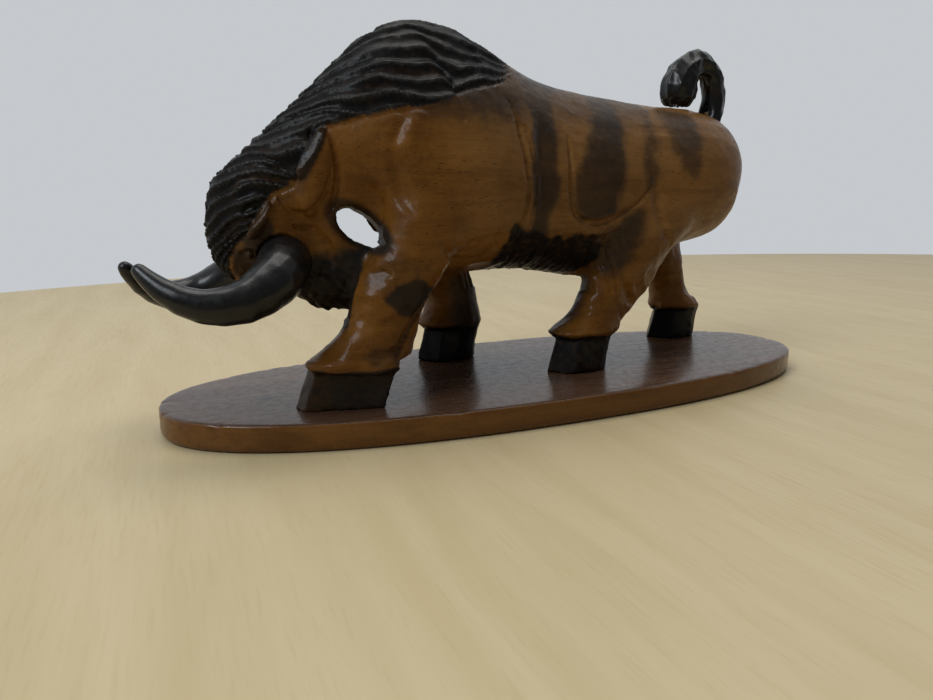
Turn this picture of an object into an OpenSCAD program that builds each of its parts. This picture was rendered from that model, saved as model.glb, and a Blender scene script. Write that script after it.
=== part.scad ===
// Carved wooden bull, head lowered, on an oval board.
// +X runs from head to tail, +Z is up, the origin is the centre of the board's underside.

/* [Board] */
// Length of the oval board
board_l = 300; // [280:1:380]
// Width of the oval board
board_w = 108; // [104:1:140]
// Thickness of the board
board_t = 10.3; // [8:0.1:16]
// Squareness of the oval, 2 is an ellipse
board_power = 2.34; // [2:0.01:3]

/* [Carving] */
// Length of the carving from forelock to rump
bull_l = 244; // [200:1:300]
// Height of the hump above the board
hump_h = 142; // [115:1:172]
// Width of the carving across the shoulders
bull_w = 78; // [64:1:94]
// Turn of the carving on the board
bull_turn = 3.5; // [0:0.5:6]
// Sideways place of the carving on the board
bull_shift = 6; // [0:0.5:9]
// Turn of the head towards the left side
head_turn = 6; // [0:0.5:10]
// Tilt of the head, the right side lower
head_tilt = 3; // [0:0.5:5]
// How proud the mane stands of the neck
mane_t = 2.2; // [1.4:0.1:3]
// Number of strands across the mane
mane_strands = 9; // [6:1:12]

/* [Hooves] */
// Length of a hoof on the board
hoof_l = 30; // [24:0.5:36]
// Width of a hoof
hoof_w = 20; // [16:0.5:24]
// Height of a hoof
hoof_h = 15; // [12:0.5:19]

/* [Horns] */
// Diameter of a horn at its root
horn_root_d = 19; // [15:0.5:23]
// Diameter of a horn at its tip
horn_tip_d = 4.5; // [3:0.5:7]
// How far a horn reaches forward of its root
horn_reach = 50; // [41:1:60]
// How far the lowest point of a horn hangs below its root
horn_drop = 14; // [11:1:17]
// Diameter of the dowel inside a horn
horn_dowel_d = 6; // [4:0.5:7]
// Length of the dowel inside a horn
horn_dowel_l = 20; // [14:1:22]

/* [Tail] */
// Diameter of the tail at its root
tail_root_d = 12; // [10:0.5:14]
// Height of the tail's loop above its root
tail_h = 30; // [25:1:36]
// Diameter of the tail's dowel
tail_dowel_d = 4; // [3:0.5:5]
// Length of the tail's dowel
tail_dowel_l = 16; // [12:1:20]

/* [Screws] */
// Outer diameter of the thread
screw_d = 4; // [3:0.5:5]
// Length of a screw with its head
screw_l = 26; // [22:1:30]
// Diameter of the countersunk head
screw_head_d = 8; // [6.5:0.5:9.5]
// How far a head lies above the underside
screw_recess = 1; // [0.6:0.1:2]

/* [Fits] */
// Radial clearance of a dowel in its socket
dowel_gap = 0.05; // [0.02:0.01:0.1]
// Radial clearance of a screw in the board
screw_gap = 0.3; // [0.2:0.05:0.5]
// Clearance round a seat and under the tail's tuft
seat_gap = 0.4; // [0.3:0.05:0.8]

/* [Hidden] */

wood = [0.52, 0.27, 0.11];
board_wood = [0.40, 0.19, 0.10];
black = [0.08, 0.07, 0.07];
pale_wood = [0.80, 0.63, 0.42];
steel = [0.72, 0.70, 0.66];

// The carving is laid out on a length of 244, a height of 142 and a width of 78
sx = bull_l / 244;
sz = hump_h / 142;
sy = bull_w / 78;
// Forelock end of the carving, before scaling
front_x = -127;

// Trunk and neck: x, lowest z, highest z, half width, height of the widest place
TRUNK = [
    [-122, 66, 81, 9, 74], [-116, 60, 88, 15, 76], [-106, 58, 97, 19, 80], [-94, 61, 108, 23, 84],
    [-82, 69, 119, 27, 90], [-72, 71, 129, 31, 90], [-62, 58, 136, 35, 86], [-50, 46, 140, 38, 82],
    [-34, 44, 139, 39, 80], [-16, 44, 132, 37, 80], [4, 43, 124, 35, 80], [26, 39, 120, 34, 80],
    [48, 40, 118, 33, 80], [70, 47, 116, 34, 84], [90, 52, 116, 33, 86], [104, 54, 114, 29, 87],
    [112, 60, 111, 23, 87], [117, 70, 104, 14, 87], [119, 80, 96, 6, 87]
];
// Head: x, z, half depth, half width, from the poll to the muzzle
HEAD = [
    [-107, 88, 8, 9], [-109, 81, 14, 14], [-108, 71, 18, 18], [-103, 61.5, 17, 18],
    [-97, 54.5, 15, 16.5], [-89, 48.5, 13.5, 14], [-80, 45, 13, 12], [-72, 43, 10.5, 10]
];
// Legs: height as a share of the way from hoof to hump, x, y, half length, half width
FORE_LEFT = [
    [0.02, -81, -26, 19.5, 12.5], [0.095, -73.5, -26, 15, 11], [0.17, -70, -26, 15, 11],
    [0.26, -63.5, -26, 16.5, 12.5], [0.35, -55, -26, 18, 13.5], [0.43, -51, -25, 19, 14],
    [0.59, -48, -20, 20, 14], [0.72, -47, -14, 17, 12]
];
FORE_RIGHT = [
    [0.02, -20, 26, 16, 12.5], [0.095, -18.5, 26, 12.5, 11], [0.17, -21, 26, 13, 11],
    [0.26, -29, 26, 16, 12.5], [0.35, -38, 26, 18, 13.5], [0.43, -44, 25, 19, 14],
    [0.59, -48, 20, 20, 14], [0.72, -47, 14, 17, 12]
];
HIND_LEFT = [
    [0.02, 23, -21, 16.5, 12], [0.08, 29, -21, 10.5, 10], [0.16, 35.5, -21, 12.5, 10.5],
    [0.23, 42.5, -21, 16.5, 12], [0.35, 54, -21, 24, 13.5], [0.48, 64, -19, 26, 14], [0.65, 70, -14, 22, 12]
];
HIND_RIGHT = [
    [0.02, 111, 16.5, 14.5, 12], [0.08, 107, 16.5, 10, 9.5], [0.16, 103, 17, 11, 10],
    [0.23, 98, 17.5, 14.5, 11.5], [0.35, 88, 18.5, 21, 13.5], [0.48, 80, 19, 24, 14], [0.65, 74, 14, 21, 12]
];
// Hoof centres on the board, in the order of the screws
HOOVES = [[-89, -26], [-23, 26], [19, -21], [108.5, 16.5]];
// Horn: share of the reach forward, x away from the head, share of the drop, share of root to tip size
HORN = [
    [0.07, 6.4, 0.24, 1], [0.19, 12.5, 0.55, 0.9], [0.42, 17, 0.93, 0.68], [0.67, 15, 0.95, 0.45],
    [0.87, 9, 0.55, 0.24], [1, 3, 0, 0]
];
// Tail: x from its root, share of its height, radius as a share of the root's
TAIL = [
    [2, 0.28, 1], [3, 0.58, 0.95], [-1, 0.87, 1], [-9, 1, 1.15], [-17, 0.84, 1.35], [-20, 0.6, 1.55],
    [-20, 0.42, 1.4]
];

head_pivot = [-86 * sx, 0, 60 * sz];
horn_seat = [-105.5 * sx, -13 * sy, 53.5 * sz];
horn_tilt = 115;
horn_swing = 242;
horn_way = [sin(horn_tilt) * cos(horn_swing), sin(horn_tilt) * sin(horn_swing), cos(horn_tilt)];
tail_seat = [110.5 * sx, 0, 107 * sz];
tuft_end = [-20, 0, 116 * sz + seat_gap - tail_seat[2]];
head_cone = (screw_head_d - screw_d) / 2;
pilot_l = screw_recess + screw_l - board_t + 1;
socket_end = 0.5;
sides = 24;
leg_sides = 16;
tube_sides = 16;
e = 0.01;

// Point between two keys of a list on a smooth curve, u counts keys
function between(k, u) =
    let (n = len(k) - 1, i = min(floor(u), n - 1), t = u - i,
        a = k[max(i - 1, 0)], b = k[i], c = k[i + 1], d = k[min(i + 2, n)])
    b + (c - a) * (t / 2) + (2 * a - 5 * b + 4 * c - d) * (t * t / 2) + (3 * b - a - 3 * c + d) * (t * t * t / 2);
function refined(k, steps) = [for (s = [0 : (len(k) - 1) * steps]) between(k, s / steps)];
function unit(v) = v / norm(v);
function bow(v, p) = sign(v) * pow(abs(v), 2 / p);
// Closed ring of points round a centre, on two half axes
function ring(c, a, b, n, p = 2) =
    [for (i = [0 : n - 1]) let (w = 360 * i / n) c + a * bow(cos(w), p) + b * bow(sin(w), p)];
function flat_list(rows) = [for (r = rows, v = r) v];

// Closed skin over rings that turn right-handed about the way they follow
module skin(rings) {
    n = len(rings[0]);
    m = len(rings);
    first = [for (k = [0 : m - 2], i = [0 : n - 1]) let (j = (i + 1) % n) [k * n + i, (k + 1) * n + j, k * n + j]];
    second = [for (k = [0 : m - 2], i = [0 : n - 1]) let (j = (i + 1) % n) [k * n + i, (k + 1) * n + i, (k + 1) * n + j]];
    ends = [[for (i = [0 : n - 1]) i], [for (i = [n - 1 : -1 : 0]) (m - 1) * n + i]];
    polyhedron(points = flat_list(rings), faces = concat(first, second, ends), convexity = 6);
}

// Round tube along a path whose first and last directions are given
module tube(path, radii, first_way, last_way, up) {
    m = len(path) - 1;
    skin([for (k = [0 : m])
        let (t = k == 0 ? first_way : k == m ? last_way : unit(path[k + 1] - path[k - 1]),
            a = unit(cross(up, t)), b = cross(t, a))
        ring(path[k], a * radii[k], b * radii[k], tube_sides)]);
}

// Point on the trunk's outline at one station, w turns from the right side over the top
function trunk_point(s, w, grow) =
    let (up = sin(w) > 0, p = up ? 1.75 : 2.3, reach = up ? s[2] + grow - s[4] : s[4] - s[1] + grow)
    [s[0] * sx, (s[3] + grow) * sy * bow(cos(w), p), (s[4] + reach * bow(sin(w), p)) * sz];

module trunk() {
    skin([for (s = refined(TRUNK, 2)) [for (i = [0 : sides - 1]) trunk_point(s, 360 * i / sides, 0)]]);
}

// Raised mane from the forelock to the back of the hump, fluted along its length
module mane() {
    m = 17;
    first = 0.3;
    last = 9.2;
    arc_n = 2 * mane_strands;
    skin([for (k = [0 : m])
        let (t = k / m, s = between(TRUNK, first + (last - first) * t), low = 6 + 62 * t,
            proud = mane_t * min(1, 0.4 + 3 * (1 - t)))
        concat(
            [for (i = [0 : arc_n])
                trunk_point(s, low + (180 - 2 * low) * i / arc_n, proud - (i % 2) * 0.5 * proud)],
            [for (i = [4 : -1 : 0]) trunk_point(s, low + (180 - 2 * low) * i / 4, -5)])]);
}

// Rings across the head stand square to the line from poll to muzzle
module head() {
    keys = refined(HEAD, 2);
    m = len(keys) - 1;
    skin([for (k = [0 : m])
        let (s = keys[k], a = keys[max(k - 1, 0)], b = keys[min(k + 1, m)], way = unit([b[0] - a[0], b[1] - a[1]]))
        ring([s[0] * sx, 0, s[1] * sz], [0, s[3] * sy, 0], [-way[1] * s[2] * sx, 0, way[0] * s[2] * sz], 20, 2.2)]);
}

// Leaf-shaped ear that lies back against the neck
module ear() {
    keys = [[0, 1.5, 1.4], [4, 4, 2.8], [12, 5.5, 3.2], [20, 4.6, 2.6], [26, 2.6, 1.8], [30, 0.8, 0.7]];
    skin([for (s = keys) ring([0, 0, s[0]], [s[1], 0, 0], [0, s[2], 0], 10)]);
}

// Hoof with a slanted front, then the cuff and the leg above it
module leg(keys, hoof) {
    wall = [[0, 0, 0, 0], [0.35, 1, 0.3, 0.2], [0.8, 3, 1.2, 0.6], [1, 4, 1, 0.6]];
    foot = [for (h = wall)
        ring([hoof[0] * sx + h[1], hoof[1] * sy, h[0] * hoof_h], [hoof_l / 2 - h[2], 0, 0],
            [0, hoof_w / 2 - h[3], 0], leg_sides, 2.4)];
    upper = [for (s = refined(keys, 2))
        ring([s[1] * sx, s[2] * sy, hoof_h + s[0] * (hump_h - hoof_h)], [s[3] * sx, 0, 0], [0, s[4] * sy, 0],
            leg_sides, 2.2)];
    skin(concat(foot, upper));
}

module on_board() {
    translate([0, bull_shift, board_t]) rotate([0, 0, bull_turn]) children();
}
module in_head() {
    translate(head_pivot) rotate([-head_tilt, 0, head_turn]) translate(-head_pivot) children();
}
// Places the left horn's parts, or their mirror image on the right
module at_horn(right) {
    in_head() mirror([0, right ? 1 : 0, 0]) translate(horn_seat) children();
}
module along_horn() {
    rotate([0, horn_tilt, horn_swing]) children();
}
module at_hoof(i) {
    translate([HOOVES[i][0] * sx, HOOVES[i][1] * sy, 0]) children();
}
module under_board(i) {
    on_board() at_hoof(i) translate([0, 0, -board_t]) children();
}

module base_board() {
    steps = 96;
    color(board_wood) difference() {
        linear_extrude(board_t)
            polygon([for (i = [0 : steps - 1]) let (w = 360 * i / steps)
                [board_l / 2 * bow(cos(w), board_power), board_w / 2 * bow(sin(w), board_power)]]);
        for (i = [0 : 3]) under_board(i) {
            translate([0, 0, -e]) cylinder(h = board_t + 2 * e, r = screw_d / 2 + screw_gap, $fn = 32);
            translate([0, 0, -e]) cylinder(h = screw_recess + e, r = screw_head_d / 2 + dowel_gap, $fn = 32);
            translate([0, 0, screw_recess])
                cylinder(h = head_cone, r1 = screw_head_d / 2 + dowel_gap, r2 = screw_d / 2 + dowel_gap, $fn = 32);
        }
    }
}

module carved_body() {
    color(wood) difference() {
        // A resize by zero keeps every size and closes the outer form into one skin
        resize([0, 0, 0]) union() {
            trunk();
            mane();
            in_head() {
                head();
                for (right = [0, 1]) mirror([0, right, 0])
                    translate([-99 * sx, -22 * sy, 69 * sz]) rotate([5, 18, 0]) ear();
            }
            leg(FORE_LEFT, HOOVES[0]);
            leg(FORE_RIGHT, HOOVES[1]);
            leg(HIND_LEFT, HOOVES[2]);
            leg(HIND_RIGHT, HOOVES[3]);
        }
        for (right = [false, true]) at_horn(right) along_horn() {
            cylinder(h = horn_root_d, r = horn_root_d / 2 + seat_gap, $fn = 48);
            socket(horn_dowel_d, horn_dowel_l);
        }
        translate(tail_seat) {
            cylinder(h = tail_h / 2, r = tail_root_d / 2 + seat_gap, $fn = 48);
            socket(tail_dowel_d, tail_dowel_l);
        }
        for (i = [0 : 3]) at_hoof(i)
            translate([0, 0, -e]) cylinder(h = pilot_l + e, r = screw_d / 2 + dowel_gap, $fn = 32);
    }
}

// Blind holes for a dowel on both sides of a seat, a little deeper than the dowel
module socket(d, l) {
    cylinder(h = l + 2 * socket_end, r = d / 2 + dowel_gap, center = true, $fn = 32);
}

module horn(right) {
    root = horn_root_d / 2;
    tip = horn_tip_d / 2;
    keys = refined(concat([[0, 0, 0, 1]], HORN), 2);
    path = [for (k = keys) [-k[0] * horn_reach, -k[1], -k[2] * horn_drop]];
    last = len(path) - 1;
    color(black) on_board() at_horn(right) difference() {
        tube(path, [for (k = keys) tip + (root - tip) * k[3]], horn_way, unit(path[last] - path[last - 1]),
            [0.45, -0.35, 0.8]);
        along_horn() socket(horn_dowel_d, horn_dowel_l);
    }
}

module horn_dowel(right) {
    color(pale_wood) on_board() at_horn(right) along_horn()
        cylinder(h = horn_dowel_l, r = horn_dowel_d / 2, center = true, $fn = 32);
}

module tail() {
    keys = refined(concat([[0, 0, 1]], TAIL), 2);
    path = concat([for (k = keys) [k[0], 0, k[1] * tail_h]], [tuft_end]);
    radii = concat([for (k = keys) k[2] * tail_root_d / 2], [tail_root_d / 2]);
    color(black) on_board() translate(tail_seat) difference() {
        tube(path, radii, [0, 0, 1], [0, 0, -1], [0, 1, 0]);
        socket(tail_dowel_d, tail_dowel_l);
    }
}

module tail_dowel() {
    color(pale_wood) on_board() translate(tail_seat)
        cylinder(h = tail_dowel_l, r = tail_dowel_d / 2, center = true, $fn = 32);
}

// Countersunk wood screw, point up, with a cross recess in its head
module screw(i) {
    r = screw_d / 2;
    core = 0.72 * r;
    pitch = 0.45 * screw_d;
    shank = 0.32 * screw_l;
    turns = floor((0.88 * screw_l - shank) / pitch);
    slot_w = 0.13 * screw_head_d;
    slot_l = 0.55 * screw_head_d;
    slot_t = 0.6 * head_cone;
    thread = [for (k = [0 : turns - 1], q = [[core, 0], [r, 0.5]]) [q[0], shank + (k + q[1]) * pitch]];
    color(steel) on_board() at_hoof(i) translate([0, 0, screw_recess - board_t]) difference() {
        rotate_extrude($fn = 48)
            polygon(concat([[0, 0], [screw_head_d / 2, 0], [r, head_cone], [r, shank - 0.5 * pitch]], thread,
                [[core, shank + turns * pitch], [0, screw_l]]));
        for (w = [0, 90]) rotate([0, 0, w]) translate([-slot_l / 2, -slot_w / 2, -e])
            cube([slot_l, slot_w, slot_t + e]);
    }
}

base_board();
on_board() carved_body();
horn(false);  // horn_left
horn(true);  // horn_right
horn_dowel(false);  // horn_dowel_left
horn_dowel(true);  // horn_dowel_right
tail();
tail_dowel();
screw(0);  // screw_fore_left
screw(1);  // screw_fore_right
screw(2);  // screw_hind_left
screw(3);  // screw_hind_right
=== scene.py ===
import math

import bpy
import numpy as np
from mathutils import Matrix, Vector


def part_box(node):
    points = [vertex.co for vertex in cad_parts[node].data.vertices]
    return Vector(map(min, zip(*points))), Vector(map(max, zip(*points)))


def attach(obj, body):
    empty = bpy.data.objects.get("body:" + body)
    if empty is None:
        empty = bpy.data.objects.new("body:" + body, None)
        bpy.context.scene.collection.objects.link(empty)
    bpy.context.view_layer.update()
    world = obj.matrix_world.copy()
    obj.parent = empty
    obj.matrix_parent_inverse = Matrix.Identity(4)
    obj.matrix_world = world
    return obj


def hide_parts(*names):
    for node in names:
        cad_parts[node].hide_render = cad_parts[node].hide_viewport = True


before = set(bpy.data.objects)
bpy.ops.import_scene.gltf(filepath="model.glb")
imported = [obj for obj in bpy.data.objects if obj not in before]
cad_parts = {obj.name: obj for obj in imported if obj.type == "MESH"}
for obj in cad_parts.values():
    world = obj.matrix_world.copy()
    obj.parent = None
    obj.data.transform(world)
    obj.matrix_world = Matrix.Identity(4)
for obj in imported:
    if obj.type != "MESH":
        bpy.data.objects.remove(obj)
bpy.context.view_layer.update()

import openvdb as vdb
from mathutils import Matrix, Vector

MM = 0.001
BOARD_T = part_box("base_board")[1].z / MM
BULL_TURN = math.radians(3.5)   # the carving stands a little turned on its board
BULL_SHIFT = 6.0                # and off the board's middle line, in mm
BODY_STEP = 0.62   # spacing of the lattice that the body is carved on, in mm
SMALL_STEP = 0.45               # the same for the horns and the tail
BAND = 7.0                      # depth to which distances from the surface are kept, in mm
MOST_TRIANGLES = 190000         # in the carved body
LEFT, RIGHT = -1, 1
EVERYWHERE = (-999, -999, -999), (999, 999, 999)
HOOF_SCREWS = ["screw_fore_left", "screw_fore_right", "screw_hind_left", "screw_hind_right"]
DOWELS = ["horn_dowel_left", "horn_dowel_right", "tail_dowel"]


# ---- places

def to_bull(points):
    """Row frame in mm to the carving's own frame: x along it, z above the board."""
    p = np.asarray(points, float) - (0, BULL_SHIFT, BOARD_T)
    c, s = math.cos(BULL_TURN), math.sin(BULL_TURN)
    return np.stack([c * p[..., 0] + s * p[..., 1], c * p[..., 1] - s * p[..., 0], p[..., 2]], -1)


def to_row(points):
    """The carving's own frame to the row frame, in mm."""
    p = np.asarray(points, float)
    c, s = math.cos(BULL_TURN), math.sin(BULL_TURN)
    turned = np.stack([c * p[..., 0] - s * p[..., 1], s * p[..., 0] + c * p[..., 1], p[..., 2]], -1)
    return turned + (0, BULL_SHIFT, BOARD_T)


def centre_of(node):
    """The middle of a CAD node in the carving's frame, in mm."""
    lo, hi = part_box(node)
    return to_bull(np.array((lo + hi) / 2) / MM)


def node_mesh(node):
    """Points in the carving's frame, in mm, and triangles of a CAD node."""
    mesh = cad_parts[node].data
    mesh.calc_loop_triangles()
    co = np.empty(len(mesh.vertices) * 3, np.float32)
    mesh.vertices.foreach_get("co", co)
    tri = np.empty(len(mesh.loop_triangles) * 3, np.int32)
    mesh.loop_triangles.foreach_get("vertices", tri)
    return to_bull(co.reshape(-1, 3) / MM), tri.reshape(-1, 3).astype(np.uint32)


def smoothstep(a, b, x):
    """0 at a and 1 at b, smooth between them and level beyond."""
    t = np.clip((x - a) / (b - a), 0, 1)
    return t * t * (3 - 2 * t)


def waves(x, y, z, size, seed):
    """Smooth uneven noise about -1 to 1 from a fixed set of sine waves."""
    rng = np.random.default_rng(seed)
    total = 0
    for _ in range(6):
        k = rng.normal(size=3)
        k *= 2 * math.pi / (size * rng.uniform(0.7, 1.5)) / np.linalg.norm(k)
        total = total + np.sin(k[0] * x + k[1] * y + k[2] * z + rng.uniform(0, 6.3))
    return total / 3.2


def smooth_path(points, step=1.2):
    """Even points about a step apart on a smooth curve through the given ones."""
    p = np.asarray(points, float)
    rows = []
    for i in range(len(p) - 1):
        a, b, c, d = p[max(i - 1, 0)], p[i], p[i + 1], p[min(i + 2, len(p) - 1)]
        n = max(2, int(np.linalg.norm(c - b) / step))
        t = np.arange(n)[:, None] / n
        square = 2 * a - 5 * b + 4 * c - d
        cube = 3 * b - a - 3 * c + d
        rows.append(b + (c - a) * t / 2 + square * t ** 2 / 2 + cube * t ** 3 / 2)
    return np.vstack(rows + [p[-1:]])


def fade_ends(count, least):
    """1 along a stroke's middle, falling to a least share at both its ends."""
    t = np.linspace(0, 1, count)
    fade = np.sin(np.pi * np.clip(t * 3, 0, 1) / 2) * np.sin(np.pi * np.clip((1 - t) * 3, 0, 1) / 2)
    return least + (1 - least) * fade


def leaning(x, y, z, side):
    """Three unit rows for a long blob on one side: along it, across it and out of the surface."""
    way = np.array((x, y * side, z))
    way /= np.linalg.norm(way)
    across = np.cross((0, 1, 0), way)
    return way, across, np.cross(way, across)


# ---- carving

class Clay:
    """Distances from a solid's surface on an even lattice, negative inside, cut and added to softly."""

    def __init__(self, points, triangles, step, pad=6.0):
        self.step = step
        self.low = np.floor((points.min(0) - pad) / step).astype(int)
        high = np.ceil((points.max(0) + pad) / step).astype(int)
        grid = vdb.FloatGrid.createLevelSetFromPolygons(
            points.astype(np.float32), triangles=triangles,
            transform=vdb.createLinearTransform(step), halfWidth=BAND / step)
        self.d = np.empty(tuple(high - self.low + 1), np.float32)
        grid.copyToArray(self.d, ijk=tuple(int(v) for v in self.low))
        self.axes = [((np.arange(n) + l) * step).astype(np.float32) for n, l in zip(self.d.shape, self.low)]

    def part(self, low, high):
        """The lattice between two corners: its slices, and its x, y and z ready to combine."""
        cut = []
        for axis, a, b in zip(self.axes, low, high):
            i = int(np.clip(np.searchsorted(axis, a), 0, len(axis) - 2))
            j = int(np.clip(np.searchsorted(axis, b), i + 1, len(axis)))
            cut.append(slice(i, j))
        x, y, z = (axis[c] for axis, c in zip(self.axes, cut))
        return tuple(cut), x[:, None, None], y[None, :, None], z[None, None, :]

    def soften(self, sigma, where):
        """Blurs the surface, which rounds edges and fills joins. where is 0 to 1 on the lattice."""
        reach = int(2.6 * sigma / self.step) + 1
        weights = np.exp(-0.5 * (np.arange(-reach, reach + 1) * self.step / sigma) ** 2)
        weights /= weights.sum()
        out = self.d
        for axis in range(3):
            margins = [(reach, reach) if a == axis else (0, 0) for a in range(3)]
            padded = np.pad(out, margins, mode="edge")
            out = np.zeros_like(self.d)
            for i, w in enumerate(weights):
                take = [slice(None)] * 3
                take[axis] = slice(i, i + self.d.shape[axis])
                out += np.float32(w) * padded[tuple(take)]
        self.d += where * (out - self.d)

    def join(self, cut, shape, soft):
        """Adds a shape, given as distances on a part of the lattice."""
        a = self.d[cut]
        h = np.clip(0.5 + 0.5 * (a - shape) / soft, 0, 1)
        self.d[cut] = a + (shape - a) * h - soft * h * (1 - h)

    def remove(self, cut, shape, soft):
        """Cuts a shape away, given as distances on a part of the lattice."""
        a = self.d[cut]
        b = -shape
        h = np.clip(0.5 - 0.5 * (a - b) / soft, 0, 1)
        self.d[cut] = a + (b - a) * h + soft * h * (1 - h)

    def blob(self, centre, radii, axes=None, soft=2.0, cut_out=False):
        """Adds or cuts an ellipsoid. axes are three unit rows, the world's own if left out."""
        r = max(radii) + 2 * soft + 1
        cut, x, y, z = self.part(np.array(centre) - r, np.array(centre) + r)
        m = np.eye(3) if axes is None else np.asarray(axes, float)
        dx, dy, dz = x - centre[0], y - centre[1], z - centre[2]
        p = [row[0] * dx + row[1] * dy + row[2] * dz for row in m]
        k0 = np.sqrt(sum((q / s) ** 2 for q, s in zip(p, radii)))
        k1 = np.sqrt(sum((q / s ** 2) ** 2 for q, s in zip(p, radii))) + 1e-6
        (self.remove if cut_out else self.join)(cut, k0 * (k0 - 1) / k1, soft)

    def tube(self, path, radii, soft=1.0, cut_out=False):
        """Adds or cuts a round stroke along a path, its radius fading from point to point."""
        path = np.asarray(path, float)
        radii = np.interp(np.linspace(0, 1, len(path)), np.linspace(0, 1, len(radii)), radii)
        reach = radii.max() + 2 * soft + 1
        cut, x, y, z = self.part(path.min(0) - reach, path.max(0) + reach)
        best = np.full(self.d[cut].shape, 1e3, np.float32)
        for a, b, ra, rb in zip(path[:-1], path[1:], radii[:-1], radii[1:]):
            ab = b - a
            t = ((x - a[0]) * ab[0] + (y - a[1]) * ab[1] + (z - a[2]) * ab[2]) / (ab @ ab + 1e-9)
            t = np.clip(t, 0, 1)
            square = (x - a[0] - t * ab[0]) ** 2 + (y - a[1] - t * ab[1]) ** 2 + (z - a[2] - t * ab[2]) ** 2
            best = np.minimum(best, np.sqrt(square) - (ra + t * (rb - ra)))
        (self.remove if cut_out else self.join)(cut, best, soft)

    def flat(self, point, normal, reach, soft=0.25):
        """Shaves off what stands out past a plane, near a point."""
        point, normal = np.asarray(point, float), np.asarray(normal, float)
        normal = normal / np.linalg.norm(normal)
        cut, x, y, z = self.part(point - reach, point + reach)
        out = normal[0] * (x - point[0]) + normal[1] * (y - point[1]) + normal[2] * (z - point[2])
        far = np.sqrt((x - point[0]) ** 2 + (y - point[1]) ** 2 + (z - point[2]) ** 2)
        self.remove(cut, np.maximum(-out, far - 0.9 * reach).astype(np.float32), soft)

    def on_side(self, path, side):
        """Points on the surface, seen from one side, over a path of x and z."""
        rows = []
        ys = self.axes[1]
        for x, z in path:
            i = int(np.clip(np.searchsorted(self.axes[0], x), 0, len(self.axes[0]) - 1))
            k = int(np.clip(np.searchsorted(self.axes[2], z), 0, len(self.axes[2]) - 1))
            line = self.d[i, :, k]
            inside = np.nonzero(line < 0)[0]
            if len(inside):
                rows.append((x, ys[inside[0] if side == LEFT else inside[-1]], z))
        return np.array(rows)

    def groove(self, path, width, depth, soft=0.5, sides=(LEFT, RIGHT)):
        """A carved line along x and z on the flanks, fading out at both ends."""
        for side in sides:
            p = self.on_side(smooth_path(path), side)
            p[:, 1] += side * (width - depth)
            self.tube(p, width * fade_ends(len(p), 0.35), soft, cut_out=True)

    def ridge(self, path, width, lift, soft=1.0, sides=(LEFT, RIGHT)):
        """A raised line along x and z on the flanks."""
        for side in sides:
            p = self.on_side(smooth_path(path), side)
            p[:, 1] -= side * (width - lift)
            self.tube(p, width * fade_ends(len(p), 0.4), soft)

    def near(self, depth, low, high):
        """Indices and positions of the lattice points near the surface, between two corners."""
        cut, x, y, z = self.part(low, high)
        i, j, k = np.nonzero(np.abs(self.d[cut]) < depth)
        return (i + cut[0].start, j + cut[1].start, k + cut[2].start), x[i, 0, 0], y[0, j, 0], z[0, 0, k]

    def mesh(self, name, flatness):
        """The surface as a Blender mesh in the row frame, in metres."""
        grid = vdb.FloatGrid(BAND)
        grid.transform = vdb.createLinearTransform(self.step)
        grid.gridClass = vdb.GridClass.LEVEL_SET
        grid.copyFromArray(np.clip(self.d, -BAND, BAND), ijk=tuple(int(v) for v in self.low))
        points, tris, quads = grid.convertToPolygons(isovalue=0, adaptivity=flatness)
        mesh = bpy.data.meshes.new(name)
        faces = [tuple(t) for t in np.asarray(tris)[:, ::-1].tolist()] + [
            tuple(q) for q in np.asarray(quads)[:, ::-1].tolist()]
        mesh.from_pydata((to_row(points) * MM).tolist(), [], faces)
        mesh.polygons.foreach_set("use_smooth", np.ones(len(mesh.polygons), bool))
        mesh.update()
        return mesh


# The way that shaved flats on the left face to catch the light from the window
GLINT = (-0.57, -0.71, 0.42)


def glint_on(side):
    return np.array((GLINT[0], -GLINT[1] * side, GLINT[2]))


# The mane's top line in x and z, from the forelock's tip over the hump to its back
CREST = [(-121, 45), (-126, 53), (-128.5, 65), (-126, 76), (-120, 87), (-114, 95), (-105, 101), (-95, 111),
         (-82, 121), (-68, 133), (-58, 140), (-49, 143), (-39, 143), (-26, 139), (-12, 133), (0, 126),
         (8, 124)]

# The mane's edge on the left, from the forelock's tip over the brow and the ear to the hump's back
MANE_EDGE = [(-120, -5, 45), (-122, -7, 52), (-121, -10, 58), (-118, -16, 63), (-113, -19, 72),
             (-109, -18, 77), (-103, -20, 80), (-99, -21, 83), (-96, -22, 88), (-93, -22, 94),
             (-90, -22, 100), (-81, -24, 102), (-65, -30, 107), (-54, -32, 108), (-37, -30, 113),
             (-22, -25, 117), (-11, -17, 122), (4, -2, 125)]


def mane_place(x, y, z):
    """How far along the crest a point lies, in mm, and its share of the way to the mane's edge."""
    crest = smooth_path(CREST, 1.0)
    run = np.concatenate([[0], np.cumsum(np.linalg.norm(np.diff(crest, axis=0), axis=1))])

    def place(px, py, pz):
        along = np.empty(len(px))
        off = np.empty(len(px))
        batch = 50000
        for s in range(0, len(px), batch):
            e = slice(s, s + batch)
            gap = (px[e, None] - crest[None, :, 0]) ** 2 + (pz[e, None] - crest[None, :, 1]) ** 2
            i = gap.argmin(1)
            along[e] = run[i]
            off[e] = np.sqrt(gap[np.arange(len(i)), i] + py[e] ** 2)
        return along, off

    edge = smooth_path(MANE_EDGE, 2.0)
    edge_u, edge_v = place(edge[:, 0], edge[:, 1], edge[:, 2])
    order = np.argsort(edge_u)
    u, v = place(np.asarray(x, float), np.asarray(y, float), np.asarray(z, float))
    return u, v / np.interp(u, edge_u[order], edge_v[order])


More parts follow.
